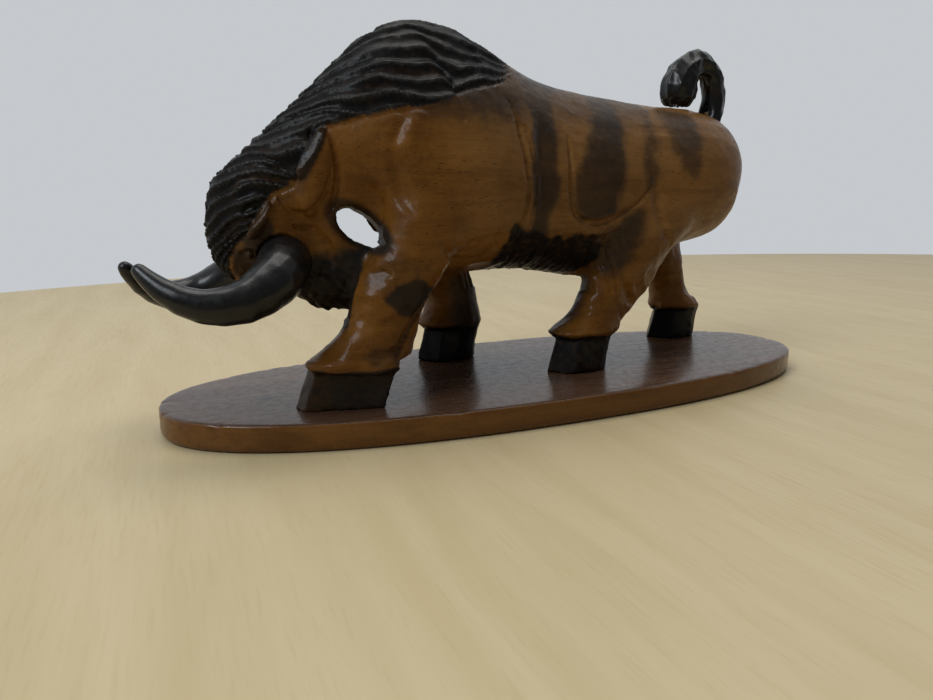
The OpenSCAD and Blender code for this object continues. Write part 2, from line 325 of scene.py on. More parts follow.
def strand_number(u, q, side):
    """Which strand of the mane a point is on. Whole numbers are the lines between the gouge cuts."""
    start = np.interp(u, [0, 60, 90, 110, 145, 190], [0, 9.6, 13.6, 15.4, 17.2, 18.0])
    count = start - q * np.interp(u, [0, 60, 110, 190], [3.2, 3.6, 5.6, 6.2])
    count = count + 0.16 * np.sin(0.11 * u + 1.3 * side) + 0.1 * np.sin(0.31 * u + 5 * q)
    return count + (0.5 if side == RIGHT else 0)


def carve_mane(clay):
    """Hollow gouge cuts side by side, fine lines in each, and a trench under the mane's edge."""
    where, x, y, z = clay.near(4.5, (-136, -42, 46), (14, 42, 152))
    u, q = mane_place(x, y, z)
    inside = (1 - smoothstep(0.97, 1.03, q)) * (1 - smoothstep(180, 190, u))
    lift = np.zeros(len(x))
    for side in (LEFT, RIGHT):
        mine = (y < 0) if side == LEFT else (y >= 0)
        n = strand_number(u, q, side)
        cell = np.floor(n)
        f = n - cell
        depth = 1.15 + 0.3 * np.sin(2.4 * cell + side)
        hollow = -depth * (1 - (2 * f - 1) ** 2)
        zigzag = 1 - np.abs(2 * ((2.0 * n + 0.3 * np.sin(u * 0.2)) % 1) - 1)
        lift = np.where(mine, hollow - 0.08 * zigzag * np.sin(np.pi * f), lift)
    fade = smoothstep(0, 6, u) * (1 - smoothstep(172, 188, u))
    lift = inside * (0.85 - 0.35 * smoothstep(95, 120, u) + lift * fade)
    trench = -0.7 * np.exp(-((q - 1.05) / 0.035) ** 2) * (1 - smoothstep(95, 120, u))
    clay.d[where] -= (lift + trench).astype(np.float32)


def carve_ears(clay):
    """Ears that lie back against the neck, with a shaved front edge and a line under each."""
    back = [(-89, 98), (-87, 90), (-86.5, 81), (-88, 73), (-92, 68)]
    front = [(-100.1, 80.8), (-97.6, 87.8), (-95.1, 93.8), (-92.6, 100.3)]
    under = [(-88.5, 86), (-90, 79), (-93, 73.5), (-97.5, 70), (-102, 70.5), (-105.5, 74.5), (-106, 79)]
    for side in (LEFT, RIGHT):
        clay.blob((-93, 21.5 * side, 84), (15.5, 5.2, 3.6), leaning(0.28, 0.02, 1.0, side), soft=1.5)
    clay.groove(back, 1.3, 1.2, soft=0.8)
    clay.groove(front, 1.0, 0.9, soft=0.4)
    for side in (LEFT, RIGHT):
        edge = np.array((-95.2, 23.3 * side, 90.3))
        clay.blob(edge, (9.8, 2.9, 2.3), leaning(0.47, 0.03, 0.88, side), soft=0.4)
        clay.flat(edge + 0.9 * glint_on(side), glint_on(side), 9.0)
    clay.groove(under, 1.0, 0.75, soft=0.5)


def carve_face(clay):
    """Forehead, the wood below the throat's window and its lip, brows, eyes and cheeks."""
    forehead = [(-119, -1, 76), (-121.5, -1.5, 64), (-120, -2, 55), (-114, -2, 46)]
    clay.tube(smooth_path(forehead), [7, 7, 6.5, 5], soft=5)
    clay.tube(smooth_path([(-86, -8, 44), (-76, -10, 43), (-66, -14, 44)]), [10.5, 10, 8], soft=4)
    clay.tube(smooth_path([(-88, -8, 52), (-76, -12, 50), (-66, -16, 49)]), [9, 9, 8], soft=4)
    lip = [(-66, -18, 54), (-65, -17, 61), (-69, -16, 70), (-76, -16.5, 75), (-84, -17.5, 74),
           (-89, -17, 68), (-87, -16, 61), (-81, -16, 55.5), (-73, -17, 53)]
    clay.tube(smooth_path(lip), [5, 5.5, 6, 6, 5.5, 5, 5, 5, 5], soft=4)
    for side in (LEFT, RIGHT):
        brow = np.array((-113.2, 18.6 * side, 68.2))
        clay.blob(brow, (8.0, 3.0, 2.6), leaning(0.45, 0.12, 0.9, side), soft=0.5)
        clay.flat(brow + 1.2 * glint_on(side), glint_on(side), 6.5)
        eye_socket = (-116.5, 13.5 * side, 55.5)
        clay.blob(eye_socket, (2.2, 2.2, 2.2), soft=0.5, cut_out=True)
        eyeball = (-115.8, 12.2 * side, 55.5)
        clay.blob(eyeball, (1.5, 1.5, 1.5), soft=0.3)
    turn = np.radians(np.arange(40, 200, 20))
    eyelid = list(zip(-115.8 + 3.8 * np.cos(turn), 55.5 + 3.2 * np.sin(turn)))
    clay.ridge(eyelid, 0.7, 0.3, soft=0.6)
    above_brow = [(-120, 60), (-117, 65), (-113.5, 71.5), (-109.5, 77)]
    clay.groove(above_brow, 0.8, 0.7, soft=0.4)
    cheek_line = [(-103, 67), (-99, 64.5), (-94, 65)]
    clay.groove(cheek_line, 0.7, 0.5, soft=0.5)
    jaw_hollow = [(-92, 62), (-89, 56), (-89, 50)]
    clay.groove(jaw_hollow, 1.2, 0.5, soft=1.4)


WINDOW_MIDDLE = (-74.5, -10, 64)
WINDOW_SLANT = (0.331, -0.05)   # how far it moves along x and z for each mm along y
WINDOW_TILT = (0.81, 0.585)     # cosine and sine of how far its long axis dips towards the tail
WINDOW_HALF = (10.4, 5.2)       # half its length and half its height, in mm


def window_place(x, y, z):
    """Distance from the middle of the throat's window, 1 at its rim. The window runs on a slant."""
    deep = y - WINDOW_MIDDLE[1]
    px = x - WINDOW_SLANT[0] * deep - WINDOW_MIDDLE[0]
    pz = z - WINDOW_SLANT[1] * deep - WINDOW_MIDDLE[2]
    c, s = WINDOW_TILT
    return np.sqrt(((c * px - s * pz) / WINDOW_HALF[0]) ** 2 + ((s * px + c * pz) / WINDOW_HALF[1]) ** 2)


def carve_throat(clay):
    """The window between the cheek and the foreleg, cut through on a slant."""
    cut, x, y, z = clay.part((-105, -45, 40), (-45, 36, 85))
    ragged = 0.22 * waves(x, y * 0.3, z, 3.0, 7) + 0.14 * waves(x, y * 0.3, z, 1.7, 8)
    hole = (window_place(x, y, z) - 1) * WINDOW_HALF[1] + ragged
    far_end = y - 33
    clay.remove(cut, np.maximum(hole, far_end).astype(np.float32), 0.5)


def carve_shoulder(clay):
    """The crease behind the shoulder, the elbow's fold and the neck's muscle."""
    crease = [(-20, 110), (-17.5, 100), (-16, 88), (-15, 76), (-16.5, 66), (-19, 56), (-24, 49)]
    clay.groove(crease, 1.3, 0.9, soft=0.8)
    clay.groove([(x + 3.2, z) for x, z in crease[1:6]], 0.9, 0.4, soft=0.6)
    elbow = [(-54, 60), (-48, 54), (-40, 50.5), (-31, 51.5), (-26, 56), (-28, 61)]
    clay.groove(elbow, 2.2, 1.3, soft=1.2)
    inner_fold = [(-47, 57), (-41, 54.5), (-35, 56), (-33, 60)]
    clay.groove(inner_fold, 1.3, 0.7, soft=1.2)
    neck_hollow = [(-63, 104), (-67, 94), (-68, 82), (-64, 70)]
    clay.groove(neck_hollow, 3.2, 0.8, soft=2.5)
    neck_muscle = [(-57, 104), (-62, 96), (-66, 88)]
    clay.ridge(neck_muscle, 3.0, 0.7, soft=2.5)


def carve_flank(clay):
    """The long curved line on the flank, shallow hollows, and upright hair cuts under the belly."""
    line = [(6, 98), (5.5, 86), (6, 76), (9, 68), (15, 64.5), (22, 64), (29, 66), (36, 69.5), (43, 74),
            (49, 80)]
    clay.groove(line, 1.6, 1.2, soft=0.8)
    clay.ridge([(5, 70), (10, 64), (17, 60.8), (25, 60.8), (33, 64), (41, 69), (48, 75)], 1.8, 0.7, soft=1.2)
    clay.groove([(-6, 106), (-9, 92), (-8, 78), (-8, 66)], 2.4, 0.5, soft=2.0)
    clay.groove([(51, 84), (52, 70), (56, 60), (62, 54)], 2.4, 0.8, soft=2.2)
    where, x, y, z = clay.near(3.0, (-24, -42, 34), (42, 42, 66))
    top = 59 + 2.5 * np.sin(x * 0.35) + 1.2 * np.sin(x * 1.1)
    hair = (1 - smoothstep(top - 3, top + 1, z)) * smoothstep(-22, -15, x) * (1 - smoothstep(30, 40, x))
    n = (x + 0.16 * (z - 40) + 0.7 * np.sin(z * 0.2 + x * 0.1)) / 3.1
    f = n - np.floor(n)
    depth = 0.75 + 0.3 * np.sin(2.1 * np.floor(n))
    clay.d[where] += (hair * depth * (1 - (2 * f - 1) ** 2)).astype(np.float32)


# The line down the near fore leg, in x and z
TENDON = [(-54, 41), (-60, 34.5), (-65.5, 27.5), (-69.5, 21.5), (-71, 16.5)]


def shape_near_hoof(clay):
    """The left fore hoof is turned a little inwards and leans forward, with a cuff round its top."""
    cut, x, y, z = clay.part((-114, -44, -1), (-62, -8, 14.7))
    sheared = x - 0.36 * z
    outer = -0.275 * sheared - 0.962 * y - 56.2
    toe = -0.976 * sheared - 0.217 * y - 107.4
    outer_corner = -0.68 * sheared - 0.733 * y - 91.4
    inner_corner = -0.90 * sheared + 0.436 * y - 85.2
    heel = sheared + 76.0
    inner = 0.275 * sheared + 0.962 * y + 41
    shape = np.maximum(z - 14.4, -z)
    for plane in (outer, toe, outer_corner, inner_corner, heel, inner):
        shape = np.maximum(shape, plane)
    clay.join(cut, shape.astype(np.float32), 0.3)
    clay.remove(cut, -outer.astype(np.float32), 0.3)
    cuff = [(-100.5, -25, 16.6), (-99.5, -29, 16.0), (-95, -32.8, 15.4), (-86, -35.8, 14.8),
            (-78, -37.6, 14.6), (-71.5, -36.5, 15.4)]
    clay.tube(smooth_path(cuff), [1.2, 1.5, 1.7, 1.8, 1.8, 1.4], soft=2.8)


HOOF_TOP = 15.0
HEELS = (20, 15, 16, 13)   # how far each hoof's heel is behind its screw, in mm


def carve_hooves(clay):
    """Each hoof has a split toe, shaved front corners and two dewclaws behind."""
    for node, heel in zip(HOOF_SCREWS, HEELS):
        x, y, _ = centre_of(node)
        toe = np.array([(x - 16.5, y, 0.0), (x - 15, y, 6), (x - 12.5, y, 12), (x - 10.5, y, 15.5)])
        clay.tube(smooth_path(toe), [1.0], soft=0.5, cut_out=True)
        clay.tube([(x - 17, y, -1), (x + 2, y, -1)], [0.8], soft=0.4, cut_out=True)
        cut, gx, gy, gz = clay.part((x - 22, y - 16, -1), (x + 22, y + 16, HOOF_TOP - 0.2))
        for side in (LEFT, RIGHT):
            if node != "screw_fore_left":
                corner = 0.78 * (x - 9.0 + 0.28 * gz - gx) + 0.62 * (side * (gy - y) - 6.4)
                clay.remove(cut, -corner.astype(np.float32), 0.25)
        for side in (LEFT, RIGHT):
            clay.blob((x + heel - 2.2, y + 5.0 * side, HOOF_TOP + 3.6), (2.8, 2.8, 2.8), soft=2.2)


def carve_legs(clay):
    """The near hind leg's back, both knees, shaved flats on the near one, and the legs' lines."""
    hind = [(63, -17, 49), (54, -19, 38.5), (45, -21, 30.5), (36, -23, 22)]
    clay.tube(smooth_path(hind), [6.5, 7, 6.5, 4], soft=6)
    knee = centre_of("screw_fore_left")
    clay.blob((knee[0] + 20, knee[1] - 3, 42), (7, 8, 9), soft=4)
    for place in ((-77.0, -31.0, 52.0), (-76.6, -34.2, 43.0), (-89.8, -32.0, 24.5)):
        clay.flat(np.array(place) + 0.75 * np.array(GLINT), (-0.58, -0.67, 0.46), 8.0, soft=0.9)
    clay.groove(TENDON, 1.4, 1.1, soft=0.9, sides=(LEFT,))
    far = centre_of("screw_fore_right")
    clay.blob((far[0] - 9, far[1] + 1, 41), (8, 9, 9), soft=4)
    clay.groove([(-85, 34), (-77, 31), (-69, 33)], 1.8, 0.5, soft=1.5, sides=(LEFT,))
    clay.groove([(-83, 21), (-74, 20), (-66, 23)], 1.6, 0.5, soft=1.4, sides=(LEFT,))
    clay.groove([(36, 40), (41, 32), (48, 27)], 2.0, 0.8, soft=2.0, sides=(LEFT,))


def carve_facets(clay):
    """Shallow flats that a hand tool leaves all over the smooth wood."""
    where, x, y, z = clay.near(3.0, (-140, -60, -2), (140, 60, 160))
    slow = waves(x, y, z, 16, 11)
    quick = waves(x, y, z, 7, 12)
    scale = np.where(z < 52, 1.25, 0.6) * smoothstep(14, 17, z) + 0.8 * (1 - smoothstep(12, 14, z))
    flats = np.abs(slow) * 0.45 + np.abs(quick) * 0.22
    chin = (1 - smoothstep(48, 55, z)) * (1 - smoothstep(-84, -78, x)) * (z > 28)
    chin = chin * (1 - smoothstep(18, 30, np.abs(y)))
    knee = np.exp(-((x + 71) / 11) ** 2 - ((z - 46) / 11) ** 2) * (y < 0)
    rough = chin * 0.4 * waves(x, y * 0.5, z, 3.0, 13) + knee * 0.8 * np.abs(waves(x, y, z, 10, 14))
    clay.d[where] += (scale * (flats - 0.25) + rough).astype(np.float32)


def paint_mask(path, reach, x, z):
    """1 within reach of a path of x and z, with an edge 2.4 mm wide."""
    p = smooth_path(path, 2.0)
    best = np.full(len(x), 1e6)
    for a in p:
        best = np.minimum(best, (x - a[0]) ** 2 + (z - a[1]) ** 2)
    return 1 - smoothstep(reach - 1.2, reach + 1.2, np.sqrt(best))


def inside_shape(outline, x, z, edge):
    """1 inside a closed outline of x and z, with a soft edge."""
    p = smooth_path(list(outline) + [outline[0]], 2.0)
    a, b = p[:-1], p[1:]
    odd = np.zeros(len(x), bool)
    best = np.full(len(x), 1e6)
    for (ax, az), (bx, bz) in zip(a, b):
        crosses = (az > z) != (bz > z)
        if az != bz:
            odd ^= crosses & (x < (bx - ax) * (z - az) / (bz - az) + ax)
        square = (bx - ax) ** 2 + (bz - az) ** 2 + 1e-9
        t = np.clip(((x - ax) * (bx - ax) + (z - az) * (bz - az)) / square, 0, 1)
        best = np.minimum(best, (x - ax - t * (bx - ax)) ** 2 + (z - az - t * (bz - az)) ** 2)
    gap = np.sqrt(best) * np.where(odd, -1, 1)
    return 1 - smoothstep(-edge, edge, gap)


# Outlines of the darker places in x and z: four stain bands from the back down, then darker patches
DARK_PATCHES = {
    "first": [(-12, 122), (-12, 108), (-12, 96), (-13.5, 84), (-13.5, 70), (-12, 60), (-4, 60), (-3, 70),
              (0, 76), (-1, 88), (1, 99), (4, 110), (12, 118), (14, 125)],
    "second": [(26, 124), (25, 112), (19, 102), (14, 95), (9, 86), (8, 76), (10, 68.5), (16, 65), (24, 65.5),
               (30, 68), (33, 75), (34, 88), (38, 100), (40, 110), (42, 124)],
    "third": [(52, 122), (50, 108), (45, 92), (44, 82), (47, 76), (51, 80), (53, 92), (58, 106), (62, 120)],
    "rump": [(62, 112), (61, 98), (64, 86), (70, 82), (76, 86), (80, 98), (84, 110), (74, 114)],
    "saddle": [(-66, 114), (-56, 103), (-42, 101), (-28, 100), (-18, 101), (-8, 106), (20, 113), (34, 121),
               (0, 132), (-30, 126)],
    "belly": [(-26, 36), (-25, 52), (-21.5, 65), (-14, 63), (-8, 62.5), (3, 60), (15, 61), (23, 59),
              (27.5, 53), (27, 47), (22, 42.5), (14, 38)],
    "knee": [(-76.5, 39.5), (-71, 43), (-65.5, 46), (-60, 45), (-54.5, 41.5), (-58, 37), (-63, 32),
             (-68, 34.5)],
    "knee_top": [(-77, 52), (-69, 57), (-62, 51), (-60, 45), (-70, 42), (-77, 41), (-80, 46)],
    "pastern": [(-85, 20), (-80, 23.5), (-71, 23.5), (-68, 17), (-80, 15)],
    "chin": [(-101, 54), (-90, 56), (-80, 58), (-72, 60), (-68, 52), (-70, 30), (-92, 28), (-104, 40)],
    "face": [(-122, 48), (-119, 62), (-114, 69), (-108, 66), (-109, 57), (-110, 48)],
    "cheek_top": [(-99, 86), (-93, 84), (-97, 78), (-104, 73), (-111, 68), (-117, 63), (-114, 71),
                  (-106, 79)],
    "stifle": [(20, 60), (30, 64), (38, 69), (46, 69), (46, 60), (42, 50), (36, 42), (28, 40), (22, 48)],
}


def mane_stain(x, y, z):
    """The mane's black, thin in its hollows, which points are on it, and its strands' ridge lines of wear
    and painted highlight.
    """
    u, q = mane_place(x, y, z)
    black = (1 - smoothstep(0.98, 1.05, q)) * (x < 14) * (z > 43) * (1 - smoothstep(176, 190, u + 4 * q))
    mane = black > 0.5
    ridge_wear_and_highlight = np.zeros(len(x))
    for side in (LEFT, RIGHT):
        mine = (y < 0) == (side == LEFT)
        strand = strand_number(u, q, side)
        f = strand - np.floor(strand)
        # lighter lines on the ridges between strands: wear, and painted highlight standing in for the
        # varnish's glints
        ridge_wear_and_highlight = np.where(mine, mane * (1 - smoothstep(0.02, 0.16, np.minimum(f, 1 - f))), ridge_wear_and_highlight)
        most = 0.34 + 0.08 * np.sin(1.9 * np.floor(strand))
        thin = (1 - (2 * f - 1) ** 2) * smoothstep(0.15, 0.6, q) * most
        black *= np.where(mine, 1 - thin, 1)
    return black, mane, ridge_wear_and_highlight


def paint_body(mesh):
    """Stores each point's stains, painted shade, paler tone, ridge lines of wear and painted highlight, and
    how raw its wood is. Returns which points are on the mane.
    """
    co = np.empty(len(mesh.vertices) * 3, np.float32)
    mesh.vertices.foreach_get("co", co)
    x, y, z = to_bull(co.reshape(-1, 3).astype(float) / MM).T
    wobble = 1.1 * waves(x, y, z, 9, 3)
    wx, wz = x + wobble, z + 1.1 * waves(x, y, z, 8, 4)
    near_leg = y < -20
    black, mane, ridge_wear_and_highlight = mane_stain(x, y, z)
    stain_and_shade = 0.8 * np.clip(2 * black, 0, 1)

    # each dark patch's outline, darkness, softness of its edge in mm, and where it may be
    for name, dark, edge, where in (
            ("first", 0.95, 3.4, 1), ("second", 0.78 + 0.16 * (1 - smoothstep(70, 92, z)), 3.4, 1),
            ("third", 0.66, 3.4, 1), ("rump", 0.66, 3.4, 1), ("saddle", 0.72, 10.0, 1),
            ("stifle", 0.72, 5.0, 1), ("knee", 1.0, 1.6, near_leg), ("knee_top", 0.42, 3.0, near_leg),
            ("pastern", 0.5, 2.5, near_leg), ("cheek_top", 0.45, 2.5, x < -90), ("face", 0.82, 2.0, 1)):
        stain_and_shade = np.maximum(stain_and_shade, dark * inside_shape(DARK_PATCHES[name], wx, wz, edge) * where)

    far_leg = smoothstep(10, 14, y) * (1 - smoothstep(46, 52, z)) * (x < -8)
    belly = inside_shape(DARK_PATCHES["belly"], wx, wz, 2.6) * (1 - far_leg)
    off_leg = smoothstep(0, 3, 24.5 + np.clip(-80 - x, 0, 20) + np.minimum(y, 0)) * (x < -64)
    chin = inside_shape(DARK_PATCHES["chin"], wx, wz, 3.5) * off_leg
    coronet = np.where((y < -12) & (x < -60), 15.3, 16.4)
    hoof = 1 - smoothstep(coronet - 0.5, coronet + 0.6, z + 0.4 * wobble)
    left_hoof = np.where(x < -60, 0.50, 0.66)
    hoof_black = np.where(y < -12, left_hoof, 1.0)
    for dark, stain in ((0.74, belly), (0.6, chin), (hoof_black, hoof)):
        black = np.maximum(black, dark * stain)

    # darker along the top of the back, behind the shoulder
    back = smoothstep(94, 112, z) * smoothstep(-25, -8, x) * (1 - smoothstep(45, 85, x))
    # painted shade along the carved tendon groove on the near fore leg
    tendon_groove_shade = paint_mask(TENDON, 1.6, x, z) * near_leg
    # painted shade on the inner wall of the throat's window and round its opening, which is also made rough
    rim = (1 - smoothstep(1.1, 1.75, window_place(x, y, z))) * (np.abs(y) < 40)
    ear_rim = paint_mask([(-99, 83), (-96.5, 87), (-93.8, 92), (-91, 98)], 2.3, x, z) * (np.abs(y) > 17)
    brow = paint_mask([(-118, 63), (-114.5, 67.5), (-111.5, 73)], 2.8, x, z) * (np.abs(y) > 12)
    # darker under the belly, between the legs
    under = smoothstep(0.75, 1.0, 1 - smoothstep(38, 52, z)) * smoothstep(-30, -20, x)
    under = under * (1 - smoothstep(30, 60, x)) * (1 - smoothstep(18, 30, np.abs(y)))
    for dark, stain in ((0.55, back), (0.6, tendon_groove_shade), (0.95, chin), (0.92, rim), (0.85, hoof),
                        (0.9, ear_rim), (0.85, brow), (0.7, under)):
        stain_and_shade = np.maximum(stain_and_shade, dark * stain)

    raw = np.maximum(rim, 0.8 * chin)
    # paler, less saturated brown on the body behind the neck and above the belly
    paler_tone = smoothstep(-58, -30, x) * smoothstep(48, 60, z)
    for name, values in (("black_stain", black), ("smoke_stain_and_painted_shade", stain_and_shade), ("raw_wood", raw),
                         ("ridge_wear_and_painted_highlight", ridge_wear_and_highlight), ("paler_wood_tone", paler_tone)):
        layer = mesh.attributes.new(name, "FLOAT", "POINT")
        layer.data.foreach_set("value", np.clip(values, 0, 1).astype(np.float32))
    return mane


def trim_faces(obj, most):
    """Collapses faces to at most a number, where the surface is flattest first."""
    count = sum(len(p.vertices) - 2 for p in obj.data.polygons)
    if count <= most:
        return
    thin = obj.modifiers.new("thin", "DECIMATE")
    thin.ratio = most / count
    bpy.context.view_layer.objects.active = obj
    bpy.ops.object.modifier_apply(modifier=thin.name)


def add_object(name, data):
    obj = bpy.data.objects.new(name, data)
    bpy.context.scene.collection.objects.link(obj)
    return obj


def add_piece(name, mesh, material, node):
    """A piece that stands for a CAD node."""
    obj = add_object(name, mesh)
    mesh.materials.append(material)
    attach(obj, "root")
    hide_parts(node)
    return obj


# ---- pieces

def make_body(material, mane_material):
    """The CAD body, softened everywhere but round its joints and then carved."""
    clay = Clay(*node_mesh("carved_body"), BODY_STEP)
    x, y, z = (a.reshape(s) for a, s in zip(clay.axes, ((-1, 1, 1), (1, -1, 1), (1, 1, -1))))
    above_hooves = smoothstep(15.5, 24, z).astype(np.float32)
    keep = np.ones(clay.d.shape, np.float32)
    for node in DOWELS:
        c = centre_of(node)
        gap = np.sqrt((x - c[0]) ** 2 + (y - c[1]) ** 2 + (z - c[2]) ** 2)
        keep = np.minimum(keep, smoothstep(9, 15, gap).astype(np.float32))
    clay.soften(2.6, keep * above_hooves)
    below_cuffs = smoothstep(14.2, 14.0, z).astype(np.float32)
    clay.soften(0.55, (1 - above_hooves) * np.ones_like(clay.d) * below_cuffs)
    carve_face(clay)
    carve_throat(clay)
    carve_shoulder(clay)
    carve_flank(clay)
    carve_hooves(clay)
    shape_near_hoof(clay)
    carve_legs(clay)
    carve_facets(clay)
    carve_mane(clay)
    carve_ears(clay)
    inside_board = clay.part(EVERYWHERE[0], (999, 999, 0.0))[0]
    clay.d[inside_board] = np.maximum(clay.d[inside_board], 0.2)
    mesh = clay.mesh("carved_bull", 0.02)
    obj = add_piece("carved_bull", mesh, material, "carved_body")
    trim_faces(obj, MOST_TRIANGLES)
    mane = paint_body(obj.data)
    obj.data.materials.append(mane_material)
    for polygon in obj.data.polygons:
        polygon.material_index = int(mane[polygon.vertices[0]])


def make_horn(node, material):
    """The CAD horn, softened, with faint flats."""
    clay = Clay(*node_mesh(node), SMALL_STEP, pad=4.0)
    clay.soften(1.0, np.ones_like(clay.d))
    where, x, y, z = clay.near(2.5, *EVERYWHERE)
    flats = np.abs(waves(x, y, z, 13, 21)) * 0.16
    clay.d[where] += flats.astype(np.float32) - 0.2
    name = node + "_carved"
    add_piece(name, clay.mesh(name, 0.0), material, node)


def make_tail(material):
    """The CAD tail, softened, with bold flats and eight strands round its tuft."""
    clay = Clay(*node_mesh("tail"), SMALL_STEP, pad=4.0)
    clay.soften(0.9, np.ones_like(clay.d))
    root = centre_of("tail_dowel")
    where, x, y, z = clay.near(2.5, *EVERYWHERE)
    centre = np.array((root[0] - 9, root[2] + 13))
    turn = np.arctan2(z - centre[1], x - centre[0])
    out = np.hypot(x - centre[0], z - centre[1])
    tuft = smoothstep(0.6, 1.2, turn) + (turn < -2.2)
    around = np.arctan2(y, out - 13)
    n = around * 8 / (2 * np.pi) + 0.12 * turn
    f = n - np.floor(n)
    strands = 0.8 * np.clip(tuft, 0, 1) * (1 - (2 * f - 1) ** 2)
    flats = np.abs(waves(x, y, z, 9, 31)) * 0.65
    clay.d[where] += (strands + flats - 0.2).astype(np.float32)
    add_piece("tail_carved", clay.mesh("tail_carved", 0.0), material, "tail")


def skin_faces(start, rings, n):
    """Faces over rings of n points each, from the point numbered start, with both ends closed."""
    faces = []
    for k in range(rings - 1):
        a, b = start + k * n, start + (k + 1) * n
        faces += [(a + i, a + (i + 1) % n, b + (i + 1) % n, b + i) for i in range(n)]
    faces.append(tuple(start + i for i in range(n))[::-1])
    faces.append(tuple(start + (rings - 1) * n + i for i in range(n)))
    return faces


def bow(v, power):
    return np.sign(v) * np.abs(v) ** (2 / power)


def make_board(material):
    """The oval board with its edges rubbed round, small dents along the rim and an uneven top."""
    low, high = (np.array(v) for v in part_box("base_board"))
    half = (high - low)[:2] / 2
    middle = (high + low)[:2] / 2
    height = high[2]
    power = 2.34   # of the CAD outline, between an ellipse and a rectangle
    steps = 420
    dents = 26
    angle = np.arange(steps) * 2 * np.pi / steps
    shape = np.stack([bow(np.cos(angle), power), bow(np.sin(angle), power)], -1)
    arc = np.cumsum(np.linalg.norm(np.roll(shape * half, -1, 0) - shape * half, axis=1))
    rng = np.random.default_rng(5)
    dent = np.zeros(steps)
    for place in rng.uniform(0, arc[-1], dents):
        away = np.abs(arc - place)
        away = np.minimum(away, arc[-1] - away)
        dent += rng.uniform(0.15, 0.5) * MM * np.exp(-(away / (rng.uniform(0.8, 2.2) * MM)) ** 2)
    wave = 0.12 * MM * np.sin(angle * 23 + 1) + 0.1 * MM * np.sin(angle * 41)
    # inset from the outline, height and share of the dents, from the underside's middle over the rim
    rim = [(0.9 * half[1], 0, 0), (0.5 * half[1], 0, 0), (3.2 * MM, 0, 0), (1.6 * MM, 0.25 * MM, 0),
           (0.7 * MM, 0.8 * MM, 0), (0.2 * MM, 1.8 * MM, 0), (0.02 * MM, 3.2 * MM, 0),
           (0.15 * MM, 5.5 * MM, 0), (0.05 * MM, 7.6 * MM, 0), (0.1 * MM, height - 0.9 * MM, 0.4),
           (0.35 * MM, height - 0.35 * MM, 1.0), (0.9 * MM, height - 0.06 * MM, 0.9),
           (2.5 * MM, height, 0.2), (8 * MM, height, 0),
           (0.3 * half[1], height, 0), (0.6 * half[1], height, 0), (0.9 * half[1], height, 0)]
    rings = []
    for inset, z, dented in rim:
        size = np.maximum(half - inset, half * 0.02)
        drop = dent * dented
        edge = shape * size * (1 - (drop + np.abs(wave) * (dented > 0))[:, None] / half[0])
        uneven = 0.07 * MM * np.sin(edge[:, 0] * 90) * np.sin(edge[:, 1] * 140 + 1) * (z > 0.9 * height)
        rings.append(np.column_stack([edge + middle, np.full(steps, z) - drop * 0.8 - np.abs(uneven)]))
    verts = np.vstack(rings)
    mesh = bpy.data.meshes.new("oval_board")
    mesh.from_pydata(verts.tolist(), [], skin_faces(0, len(rings), steps))
    mesh.polygons.foreach_set("use_smooth", np.ones(len(mesh.polygons), bool))
    drill_screw_holes(add_piece("oval_board", mesh, material, "base_board"))


def drill_screw_holes(board):
    """Countersunk holes from below, one round each screw."""
    verts = []
    faces = []
    n = 32   # sides of a hole
    for node in HOOF_SCREWS:
        lo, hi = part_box(node)
        c = (lo + hi) / 2
        head = (hi.x - lo.x) / 2 + 0.05 * MM   # the hole's radius at the screw's head
        shank = head / 2 + 0.3 * MM
        cone = head / 2                        # height of the countersink
        profile = [(head, -MM), (head, lo.z), (shank, lo.z + cone), (shank, BOARD_T * MM + MM)]
        start = len(verts)
        for r, z in profile:
            turns = [2 * math.pi * i / n for i in range(n)]
            verts += [(c.x + r * math.cos(t), c.y + r * math.sin(t), z) for t in turns]
        faces += skin_faces(start, len(profile), n)
    mesh = bpy.data.meshes.new("drill")
    mesh.from_pydata(verts, [], faces)
    drill = add_object("drill", mesh)
    cut = board.modifiers.new("holes", "BOOLEAN")
    cut.operation = "DIFFERENCE"
    cut.solver = "EXACT"
    cut.object = drill
    bpy.context.view_layer.objects.active = board
    bpy.ops.object.modifier_apply(modifier=cut.name)
    bpy.data.objects.remove(drill)
    bpy.data.meshes.remove(mesh)


# ---- materials

EVEN = (1, 1, 1)


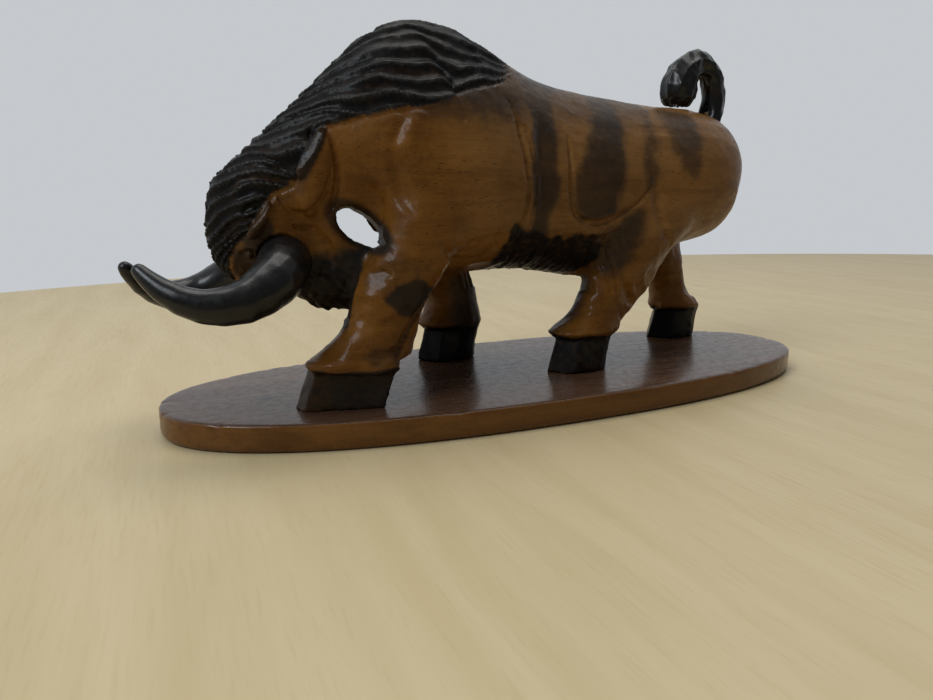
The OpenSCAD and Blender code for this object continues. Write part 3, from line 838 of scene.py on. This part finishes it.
class Nodes:
    """A short way to write a material's nodes."""

    def __init__(self, name):
        self.material = bpy.data.materials.new(name)
        self.material.use_nodes = True
        self.tree = self.material.node_tree
        self.shader = self.tree.nodes["Principled BSDF"]

    def add(self, kind, inputs=(), **settings):
        node = self.tree.nodes.new(kind)
        for key, value in settings.items():
            setattr(node, key, value)
        for key, value in dict(inputs).items():
            if isinstance(value, bpy.types.NodeSocket):
                self.tree.links.new(value, node.inputs[key])
            else:
                node.inputs[key].default_value = value
        return node

    def place(self, scale):
        """The object's own coordinates, in metres, stretched by a scale."""
        where = self.add("ShaderNodeTexCoord").outputs["Object"]
        return self.add("ShaderNodeMapping", {"Vector": where, "Scale": scale}).outputs["Vector"]

    def noise(self, scale, detail, rough=0.55, distort=0.0, stretch=EVEN):
        inputs = {"Vector": self.place(stretch), "Scale": scale, "Detail": detail, "Roughness": rough,
                  "Distortion": distort}
        return self.add("ShaderNodeTexNoise", inputs).outputs["Fac"]

    def facets(self, scale, distance, strength):
        """Bump of soft-edged knife flats."""
        inputs = {"Vector": self.place(EVEN), "Scale": scale}
        cells = self.add("ShaderNodeTexVoronoi", inputs, feature="SMOOTH_F1")
        return self.bump(cells.outputs["Distance"], distance, strength)

    def value(self, name):
        """What paint_body stored on the mesh under a name."""
        return self.add("ShaderNodeAttribute", attribute_name=name).outputs["Fac"]

    def ramp(self, fac, low, high, a=0.0, b=1.0):
        """A value from low to high turned smoothly into one from a to b."""
        inputs = {"Value": fac, "From Min": low, "From Max": high, "To Min": a, "To Max": b}
        return self.add("ShaderNodeMapRange", inputs, interpolation_type="SMOOTHSTEP").outputs["Result"]

    def math(self, operation, a, b):
        return self.add("ShaderNodeMath", {0: a, 1: b}, operation=operation).outputs[0]

    def mix(self, fac, a, b):
        """Colour a where fac is 0, b where it is 1. The node's colours are its inputs 6 and 7."""
        return self.add("ShaderNodeMix", {0: fac, 6: a, 7: b}, data_type="RGBA").outputs[2]

    def bump(self, height, distance, strength, normal=None):
        inputs = {"Height": height, "Distance": distance, "Strength": strength}
        if normal is not None:
            inputs["Normal"] = normal
        return self.add("ShaderNodeBump", inputs).outputs["Normal"]

    def link(self, socket, name):
        self.tree.links.new(socket, self.shader.inputs[name])

    def set(self, **values):
        for key, value in values.items():
            self.shader.inputs[key.replace("_", " ")].default_value = value

    # the timber's grain, which runs along X

    def streaks(self):
        return self.noise(1.0, 5, 0.6, 0.6, (16, 190, 190))

    def fibres(self):
        return self.noise(1.0, 3, 0.6, stretch=(120, 1500, 1500))

    def pores(self):
        return self.ramp(self.noise(1.0, 2, 0.5, stretch=(330, 2600, 2600)), 0.62, 0.7)


def rgb(r, g, b):
    return (r, g, b, 1.0)


def body_material(name, coat, specular):
    """Brown varnished wood under the smoke stains with painted shade, the black stains and the ridge lines
    that paint_body stores.
    """
    m = Nodes(name)
    streaks, fine, pores = m.streaks(), m.fibres(), m.pores()
    blotch = m.noise(38, 3, 0.5)
    warm = m.mix(m.ramp(blotch, 0.3, 0.7), rgb(0.138, 0.053, 0.0070), rgb(0.215, 0.091, 0.0160))
    # paler, less saturated brown where paint_body stores its paler tone
    warm = m.mix(m.math("MULTIPLY", m.value("paler_wood_tone"), 0.55), warm, rgb(0.255, 0.132, 0.044))
    warm = m.mix(m.ramp(streaks, 0.35, 0.7, 0.0, 0.5), warm, rgb(0.070, 0.025, 0.004))
    warm = m.mix(m.ramp(fine, 0.45, 0.75, 0.0, 0.3), warm, rgb(0.19, 0.09, 0.028))
    warm = m.mix(m.math("MULTIPLY", pores, 0.65), warm, rgb(0.020, 0.008, 0.003))
    ragged = m.noise(6, 4, 0.6, stretch=(60, 60, 60))
    edge = m.math("MULTIPLY", m.math("SUBTRACT", ragged, 0.5), 0.55)
    stain_and_shade = m.ramp(m.math("ADD", m.value("smoke_stain_and_painted_shade"), m.math("MULTIPLY", edge, 0.6)), 0.1, 0.9)
    black = m.ramp(m.math("ADD", m.value("black_stain"), edge), 0.3, 0.75)
    thin = m.math("SUBTRACT", 1.0, m.math("MULTIPLY", m.ramp(blotch, 0.3, 0.7), 0.25))
    # dark brown of the smoke stains, also used as painted shade in the throat's window and along the leg's
    # groove
    colour = m.mix(m.math("MULTIPLY", stain_and_shade, thin), warm, rgb(0.018, 0.0125, 0.009))
    black = m.math("MULTIPLY", black, m.ramp(ragged, 0.2, 0.6, 0.86, 1.0))
    colour = m.mix(black, colour, rgb(0.0065, 0.006, 0.006))
    # lighter grey lines on the mane's ridges: wear, and painted highlight standing in for the varnish's
    # glints
    ridge_wear_and_highlight = m.math("MULTIPLY", m.value("ridge_wear_and_painted_highlight"), m.ramp(ragged, 0.35, 0.65, 0.15, 0.6))
    colour = m.mix(ridge_wear_and_highlight, colour, rgb(0.070, 0.068, 0.064))
    m.link(colour, "Base Color")
    rough = m.ramp(m.noise(420, 3, 0.6), 0.3, 0.7, 0.30, 0.46)
    m.link(m.math("MAXIMUM", rough, m.math("MULTIPLY", m.value("raw_wood"), 0.85)), "Roughness")
    tool = m.bump(m.noise(900, 2, 0.5), 0.00012, 0.6, m.facets(260, 0.0009, 0.3))
    m.link(m.bump(m.math("SUBTRACT", m.math("MULTIPLY", fine, 0.4), pores), 0.00012, 0.5, tool), "Normal")
    m.set(Coat_Weight=coat, Coat_Roughness=0.14, Coat_IOR=1.45, Specular_IOR_Level=specular)
    return m.material


def black_material(name, scrape):
    """Black varnished wood, its brown showing through in patches as strongly as scrape says."""
    m = Nodes(name)
    blotch = m.noise(70, 4, 0.6)
    black = m.mix(m.ramp(blotch, 0.35, 0.7), rgb(0.0055, 0.0055, 0.006), rgb(0.012, 0.011, 0.010))
    scraped = m.ramp(m.noise(55, 3, 0.5, 0.4), 0.60, 0.76, 0.0, scrape)
    colour = m.mix(scraped, black, rgb(0.032, 0.013, 0.005))
    colour = m.mix(m.math("MULTIPLY", m.pores(), 0.5), colour, rgb(0.004, 0.003, 0.003))
    m.link(colour, "Base Color")
    m.link(m.ramp(m.noise(500, 3, 0.6), 0.3, 0.7, 0.26, 0.42), "Roughness")
    tool = m.noise(1100, 2, 0.5)
    m.link(m.bump(tool, 0.00008, 0.5, m.facets(240, 0.0008, 0.22)), "Normal")
    m.set(Coat_Weight=0.26, Coat_Roughness=0.16, Coat_IOR=1.5, Specular_IOR_Level=0.2)
    return m.material


def board_material():
    """Dark reddish wood with a knot near the head's end, and lighter on the board's side."""
    m = Nodes("polished_board_wood")
    streaks, fine, pores = m.streaks(), m.fibres(), m.pores()
    rings = m.noise(1.0, 4, 0.6, 1.2, (7, 75, 75))
    normal = m.add("ShaderNodeNewGeometry").outputs["Normal"]
    up = m.add("ShaderNodeSeparateXYZ", {0: normal}).outputs["Z"]
    top = m.ramp(up, 0.55, 0.95)
    side = m.mix(m.ramp(streaks, 0.3, 0.7), rgb(0.100, 0.037, 0.0060), rgb(0.155, 0.063, 0.0110))
    face = m.mix(m.ramp(rings, 0.3, 0.7), rgb(0.064, 0.031, 0.017), rgb(0.104, 0.054, 0.031))
    face = m.mix(m.ramp(streaks, 0.4, 0.75, 0.0, 0.6), face, rgb(0.034, 0.016, 0.010))
    colour = m.mix(top, side, face)
    colour = m.mix(m.math("MULTIPLY", pores, 0.6), colour, rgb(0.014, 0.006, 0.004))
    knot_place = (-0.112, -0.004, BOARD_T * MM)
    away = m.add("ShaderNodeVectorMath", {0: m.place(EVEN), 1: knot_place}, operation="DISTANCE")
    uneven = m.math("MULTIPLY", m.noise(300, 2), 0.004)
    knot = m.math("ADD", away.outputs["Value"], uneven)
    colour = m.mix(m.ramp(knot, 0.0035, 0.0075, 0.75, 0.0), colour, rgb(0.018, 0.009, 0.006))
    m.link(colour, "Base Color")
    m.link(m.ramp(m.noise(300, 4, 0.6), 0.3, 0.7, 0.20, 0.36), "Roughness")
    height = m.math("SUBTRACT", m.math("MULTIPLY", fine, 0.5), pores)
    m.link(m.bump(height, 0.00004, 0.2), "Normal")
    m.set(Coat_Weight=0.2, Coat_Roughness=0.12, Coat_IOR=1.5, Specular_IOR_Level=0.2)
    return m.material


def dowel_material():
    m = Nodes("pale_dowel_wood")
    fine = m.fibres()
    colour = m.mix(m.ramp(m.streaks(), 0.3, 0.7), rgb(0.62, 0.42, 0.22), rgb(0.48, 0.30, 0.14))
    colour = m.mix(m.math("MULTIPLY", m.pores(), 0.6), colour, rgb(0.22, 0.12, 0.05))
    m.link(colour, "Base Color")
    m.link(m.ramp(fine, 0.3, 0.7, 0.5, 0.7), "Roughness")
    m.link(m.bump(fine, 0.0001, 0.5), "Normal")
    return m.material


def screw_material():
    m = Nodes("zinc_screw_steel")
    spangle = m.noise(900, 3, 0.6)
    stain = m.noise(260, 3, 0.6)
    colour = m.mix(m.ramp(stain, 0.5, 0.75), rgb(0.58, 0.56, 0.52), rgb(0.33, 0.26, 0.19))
    m.link(colour, "Base Color")
    m.link(m.ramp(spangle, 0.3, 0.7, 0.24, 0.42), "Roughness")
    m.link(m.bump(spangle, 0.00005, 0.4), "Normal")
    m.set(Metallic=1.0)
    return m.material


def floor_material():
    m = Nodes("pale_table")
    streaks = m.noise(1.0, 4, 0.55, 0.3, (60, 8, 60))
    fine = m.noise(1.0, 2, 0.5, stretch=(700, 60, 700))
    colour = m.mix(m.ramp(streaks, 0.3, 0.75), rgb(0.60, 0.485, 0.282), rgb(0.545, 0.43, 0.235))
    colour = m.mix(m.ramp(fine, 0.5, 0.8, 0.0, 0.3), colour, rgb(0.47, 0.355, 0.185))
    m.link(colour, "Base Color")
    m.link(m.ramp(fine, 0.3, 0.7, 0.42, 0.55), "Roughness")
    return m.material


def assign(node, material):
    """Gives a CAD node a material, all over."""
    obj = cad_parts[node]
    obj.data.materials.clear()
    obj.data.materials.append(material)
    for polygon in obj.data.polygons:
        polygon.material_index = 0


# ---- stage

def make_stage():
    """A pale round table in a pale room."""
    steps = 128
    middle = (0.18, 0.02)
    half_length = 0.86
    half_width = 0.54
    thick = 0.02
    turns = [2 * math.pi * i / steps for i in range(steps)]
    outline = [(middle[0] + half_length * math.cos(t), middle[1] + half_width * math.sin(t)) for t in turns]
    verts = [(x, y, 0.0) for x, y in outline] + [(x, y, -thick) for x, y in outline]
    faces = [(i + steps, (i + 1) % steps + steps, (i + 1) % steps, i) for i in range(steps)]
    faces.insert(0, tuple(range(steps)))
    mesh = bpy.data.meshes.new("table_top")
    mesh.from_pydata(verts, [], faces)
    mesh.materials.append(floor_material())
    add_object("table_top", mesh)


def area_light(name, place, target, size, power, colour):
    light = bpy.data.lights.new(name, "AREA")
    light.shape = "RECTANGLE"
    light.size, light.size_y = size
    light.energy = power
    light.color = colour
    obj = add_object(name, light)
    obj.location = place
    obj.rotation_euler = (Vector(target) - Vector(place)).to_track_quat("-Z", "Y").to_euler()


def make_lights():
    """A pale wall behind, a dim room in front, a window on the left and a soft ceiling light."""
    world = bpy.data.worlds.new("pale_room")
    bpy.context.scene.world = world
    world.use_nodes = True
    tree = world.node_tree
    tree.nodes["Background"].inputs["Color"].default_value = rgb(0.56, 0.585, 0.61)
    away = tree.nodes.new("ShaderNodeSeparateXYZ")
    tree.links.new(tree.nodes.new("ShaderNodeTexCoord").outputs["Generated"], away.inputs[0])
    shade = tree.nodes.new("ShaderNodeMapRange")
    shade.interpolation_type = "SMOOTHSTEP"
    tree.links.new(away.outputs["Y"], shade.inputs["Value"])
    for key, value in (("From Min", -0.6), ("From Max", 0.45), ("To Min", 0.22), ("To Max", 1.0)):
        shade.inputs[key].default_value = value
    tree.links.new(shade.outputs["Result"], tree.nodes["Background"].inputs["Strength"])
    bpy.context.scene.view_settings.view_transform = "Standard"
    area_light("window", place=(-0.85, -0.35, 0.85), target=(-0.02, 0, 0.06), size=(0.45, 0.5),
               power=6.3, colour=(0.86, 0.93, 1.0))
    area_light("ceiling", place=(0.15, 0.25, 1.2), target=(0, 0, 0.05), size=(1.0, 0.7),
               power=6.0, colour=(1.0, 0.97, 0.92))


def make_camera():
    """The lens and place of the view that the object is matched to, in metres and degrees."""
    yaw, pitch, roll = (math.radians(v) for v in (23.45, 12.84, -0.26))
    forward = Vector((math.sin(yaw) * math.cos(pitch), math.cos(yaw) * math.cos(pitch), -math.sin(pitch)))
    right = Vector((math.cos(yaw), -math.sin(yaw), 0))
    up = right.cross(forward)
    c, s = math.cos(roll), math.sin(roll)
    right, up = right * c + up * s, up * c - right * s
    data = bpy.data.cameras.new("camera")
    data.sensor_fit = "HORIZONTAL"
    data.sensor_width = 36
    data.lens = 26.508
    data.clip_start = 0.01
    data.dof.use_dof = False
    camera = add_object("camera", data)
    turn = Matrix((right, up, -forward)).transposed()
    camera.matrix_world = Matrix.Translation((-0.1420, -0.2676, 0.0867)) @ turn.to_4x4()
    bpy.context.scene.camera = camera


make_camera()
make_lights()
make_stage()
black = black_material("black_varnished_wood", scrape=0.35)
make_body(body_material("stained_varnished_wood", coat=0.14, specular=0.1),
          body_material("black_mane_wood", coat=0.07, specular=0.05))
make_horn("horn_left", black)
make_horn("horn_right", black)
make_tail(black_material("tail_varnished_wood", scrape=0.75))
make_board(board_material())
pale = dowel_material()
steel = screw_material()
for node in DOWELS:
    assign(node, pale)
for node in HOOF_SCREWS:
    assign(node, steel)
